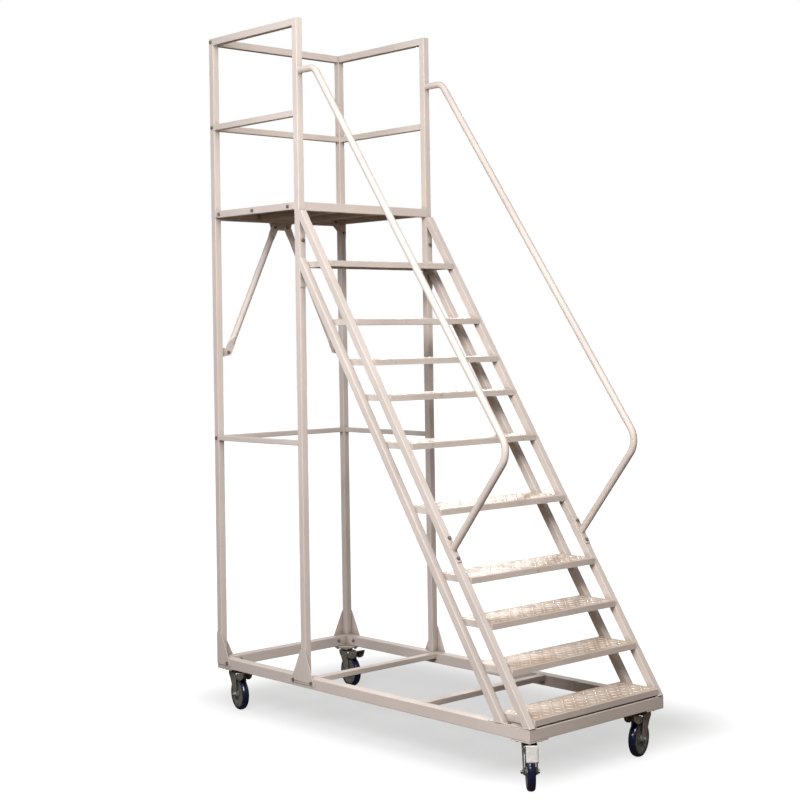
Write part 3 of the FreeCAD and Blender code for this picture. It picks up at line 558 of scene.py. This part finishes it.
def ring_points(center, radius, axis_u, axis_v, count=20):
    angles = [2 * math.pi * k / count for k in range(count)]
    return [center + (axis_u * math.cos(a) + axis_v * math.sin(a)) * radius for a in angles]


def make_tower_welds():
    """Rails welded between posts, cross members between base rails; the top rails are mitred instead."""
    beads = Beads(3)
    posts_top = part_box("post_front_left")[1].z
    for node in ["guard_rails_left", "guard_rails_right", "tie_rails", "platform_side_rails",
                 "platform_front_beam", "platform_rear_beam", "base_cross_members"]:
        for low, high in solids_of(node):
            if abs(high.z - posts_top) < 0.001:
                continue
            size = high - low
            axis = max(range(3), key=lambda k: size[k])
            for at in (low[axis], high[axis]):
                beads.tube_end(low, high, axis, at)
    beads.finish("tower_welds")


def stair_slope():
    """Run per rise of the nose line, from the treads."""
    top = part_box(TREADS[0])
    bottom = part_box(TREADS[-1])
    return (top[0].y - bottom[0].y) / (top[1].z - bottom[1].z)


def make_stair_welds():
    """Treads to stringers, stringers to their foot strips."""
    beads = Beads(5)
    slope = stair_slope()
    for stringer in ("stringer_upper_", "stringer_lower_"):
        for side_name, side in SIDES.items():
            low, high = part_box(stringer + side_name)
            section = (high.x - low.x) * math.sqrt(1.0 + slope * slope)
            inner = high.x if side < 0 else low.x
            for tread in TREADS:
                tread_low, tread_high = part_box(tread)
                for z in (tread_high.z, tread_low.z):
                    front = low.y + slope * (z - low.z)
                    start = max(front, tread_low.y + TREAD_WELD_MARGIN)
                    end = min(front + section, tread_high.y - TREAD_WELD_MARGIN)
                    beads.run([Vector((inner, start, z)), Vector((inner, end, z))])
            foot = [Vector((x, low.y + s, low.z)) for x, s in
                    ((low.x, 0.0), (high.x, 0.0), (high.x, section), (low.x, section))]
            beads.run(foot, closed=True)
    beads.finish("stair_welds")


def make_handrail_welds():
    """A ring where each handrail meets its post and its foot strip."""
    beads = Beads(7)
    climb = Vector((0.0, stair_slope(), 1.0)).normalized()
    normal = Vector((0.0, -climb.z, climb.y))
    low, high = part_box("handrail_left")
    radius = (high.x - low.x) / 2
    for side_name in SIDES:
        low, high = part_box("handrail_" + side_name)
        top = Vector(((low.x + high.x) / 2, high.y, high.z - radius))
        beads.run(ring_points(top, radius, ACROSS, UP), closed=True)
    for low, high in solids_of("handrail_feet"):
        center = (low + high) / 2 + normal * FOOT_WELD_OFFSET
        beads.run(ring_points(center, radius, ACROSS, climb), closed=True)
    beads.finish("handrail_welds")


# ---- label on the front left brake pedal ----
def make_pedal_label():
    """Blank card stuck to the tip of the front left pedal, hanging down and curling a little."""
    swivel = Vector(JOINTS["swivel_front_left"]["pos_m"])
    axle = Vector(JOINTS["wheel_spin_front_left"]["pos_m"])
    behind = Vector((axle.x - swivel.x, axle.y - swivel.y, 0.0)).normalized()
    across = Vector((-behind.y, behind.x, 0.0))
    points = [v.co - swivel for v in NODES["caster_brake_pedal_front_left"].data.vertices]
    reach = max(p.dot(behind) for p in points)
    tip_z = max(p.z for p in points)
    vertices = []
    for thickness in (0.0, LABEL_THICKNESS):
        for i in range(LABEL_ROWS + 1):
            t = i / LABEL_ROWS
            out = LABEL_GAP + LABEL_CURL * t * t
            rise = LABEL_RISE - (LABEL_RISE + LABEL_DROP) * t
            for j in range(LABEL_COLUMNS + 1):
                s = 2.0 * j / LABEL_COLUMNS - 1.0
                bow = LABEL_BOW * s * s * i / (LABEL_ROWS + 1)
                point = swivel + across * (s * LABEL_HALF_WIDTH)
                point += behind * (reach + out - bow + thickness)
                point.z += tip_z + rise
                vertices.append(point)
    count = len(vertices) // 2
    back = grid_faces(LABEL_ROWS, LABEL_COLUMNS)
    front = [tuple(index + count for index in reversed(face)) for face in back]
    rim = grid_rim(LABEL_ROWS, LABEL_COLUMNS)
    border = [(a, b, b + count, a + count) for a, b in zip(rim, rim[1:] + rim[:1])]
    obj = add_piece("pedal_label", vertices, back + front + border, LABEL_MATERIAL, "pedal_front_left")


# ---- stage ----
def make_floor():
    """Pale floor that fades to white, with a soft shade under the stand."""
    far = FLOOR_HALF_SIZE
    mesh = bpy.data.meshes.new("floor")
    mesh.from_pydata([(-far, -far, 0), (far, -far, 0), (far, far, 0), (-far, far, 0)], [], [(0, 1, 2, 3)])
    floor = bpy.data.objects.new("floor", mesh)
    bpy.context.scene.collection.objects.link(floor)
    g = Graph("floor_paint")
    offset = g.vector_math("SUBTRACT", g.position, STAND + SHADE_PLACE)
    beyond = g.vector_math("SUBTRACT", g.vector_math("ABSOLUTE", offset), SHADE_HALF_SIZE)
    outside = g.vector_math("MAXIMUM", beyond, (0, 0, 0))
    distance = g.vector_math("LENGTH", outside, result="Value")
    light = g.ramp(distance, 0.0, FLOOR_FADE, FLOOR_SHADE, FLOOR_FAR)
    glow = g.add("ShaderNodeEmission", {"Color": (1, 1, 1, 1), "Strength": light})
    matt = g.add("ShaderNodeBsdfDiffuse", {"Color": FLOOR_MATT})
    seen = g.add("ShaderNodeAddShader", {0: glow.outputs[0], 1: matt.outputs[0]})
    bounce = g.add("ShaderNodeBsdfDiffuse", {"Color": FLOOR_BOUNCE})
    camera_ray = g.add("ShaderNodeLightPath").outputs["Is Camera Ray"]
    both = g.add("ShaderNodeMixShader", {0: camera_ray, 1: bounce.outputs[0], 2: seen.outputs[0]})
    g.feed(g.output.inputs["Surface"], both.outputs[0])
    mesh.materials.append(g.material)


def make_world():
    """White backdrop to the camera; a soft studio dome, brown below the horizon, to everything else."""
    world = bpy.data.worlds.new("studio")
    bpy.context.scene.world = world
    world.use_nodes = True
    tree = world.node_tree
    tree.nodes.clear()
    output = tree.nodes.new("ShaderNodeOutputWorld")
    coordinates = tree.nodes.new("ShaderNodeTexCoord")
    split = tree.nodes.new("ShaderNodeSeparateXYZ")
    tree.links.new(coordinates.outputs["Generated"], split.inputs[0])
    height = tree.nodes.new("ShaderNodeMapRange")
    height.interpolation_type = "SMOOTHSTEP"
    height.inputs["From Min"].default_value = DOME_RISE[0]
    height.inputs["From Max"].default_value = DOME_RISE[1]
    tree.links.new(split.outputs["Z"], height.inputs["Value"])
    dome = tree.nodes.new("ShaderNodeMix")
    dome.data_type = "RGBA"
    dome.inputs[6].default_value = DOME_LOW
    dome.inputs[7].default_value = DOME_HIGH
    tree.links.new(height.outputs[0], dome.inputs[0])
    soft = tree.nodes.new("ShaderNodeBackground")
    soft.inputs["Strength"].default_value = DOME_STRENGTH
    tree.links.new(dome.outputs[2], soft.inputs["Color"])
    white = tree.nodes.new("ShaderNodeBackground")
    white.inputs["Color"].default_value = (1, 1, 1, 1)
    path = tree.nodes.new("ShaderNodeLightPath")
    choose = tree.nodes.new("ShaderNodeMixShader")
    tree.links.new(path.outputs["Is Camera Ray"], choose.inputs[0])
    tree.links.new(soft.outputs[0], choose.inputs[1])
    tree.links.new(white.outputs[0], choose.inputs[2])
    tree.links.new(choose.outputs[0], output.inputs["Surface"])


def softbox(name, location, target, size, watts, colour):
    """Rectangular area light; location and target are from the middle of the stand."""
    data = bpy.data.lights.new(name, "AREA")
    data.shape = "RECTANGLE"
    data.size, data.size_y = size
    data.energy = watts
    data.color = linear(colour)[:3]
    light = bpy.data.objects.new(name, data)
    bpy.context.scene.collection.objects.link(light)
    light.location = STAND + Vector(location)
    light.rotation_mode = "QUATERNION"
    light.rotation_quaternion = (Vector(target) - Vector(location)).to_track_quat("-Z", "Y")
    light.visible_camera = False


def make_lights():
    softbox("key_left", location=(-4.0, -1.7, 3.5), target=(0, 0, 1.6),
            size=(2.4, 2.2), watts=196.0, colour=(251, 251, 255))
    softbox("front_high", location=(-1.6, -3.6, 4.8), target=(0, 0.1, 2.1),
            size=(2.2, 1.8), watts=124.0, colour=(255, 249, 243))
    softbox("back_right", location=(4.6, 4.4, 3.9), target=(0, -0.6, 0.9),
            size=(1.3, 0.9), watts=125.0, colour=(255, 250, 244))


def make_camera():
    """Almost level view from the front left, with the picture shifted down."""
    level = math.cos(CAMERA_PITCH)
    forward = Vector((-math.sin(CAMERA_YAW) * level, math.cos(CAMERA_YAW) * level, math.sin(CAMERA_PITCH)))
    right = forward.cross(UP).normalized()
    up = right.cross(forward)
    rolled_right = right * math.cos(CAMERA_ROLL) + up * math.sin(CAMERA_ROLL)
    rolled_up = up * math.cos(CAMERA_ROLL) - right * math.sin(CAMERA_ROLL)
    data = bpy.data.cameras.new("camera")
    data.sensor_width = CAMERA_SENSOR
    data.lens = CAMERA_LENS
    data.shift_y = CAMERA_SHIFT
    camera = bpy.data.objects.new("camera", data)
    bpy.context.scene.collection.objects.link(camera)
    axes = Matrix((rolled_right, rolled_up, -forward)).transposed()
    camera.matrix_world = Matrix.Translation(STAND + Vector(CAMERA_PLACE)) @ axes.to_4x4()
    bpy.context.scene.camera = camera


def main():
    dress_cad_nodes()
    make_chequer()
    make_tower_welds()
    make_stair_welds()
    make_handrail_welds()
    make_pedal_label()
    make_floor()
    make_world()
    make_lights()
    make_camera()
    bpy.context.scene.view_settings.view_transform = "Standard"


main()
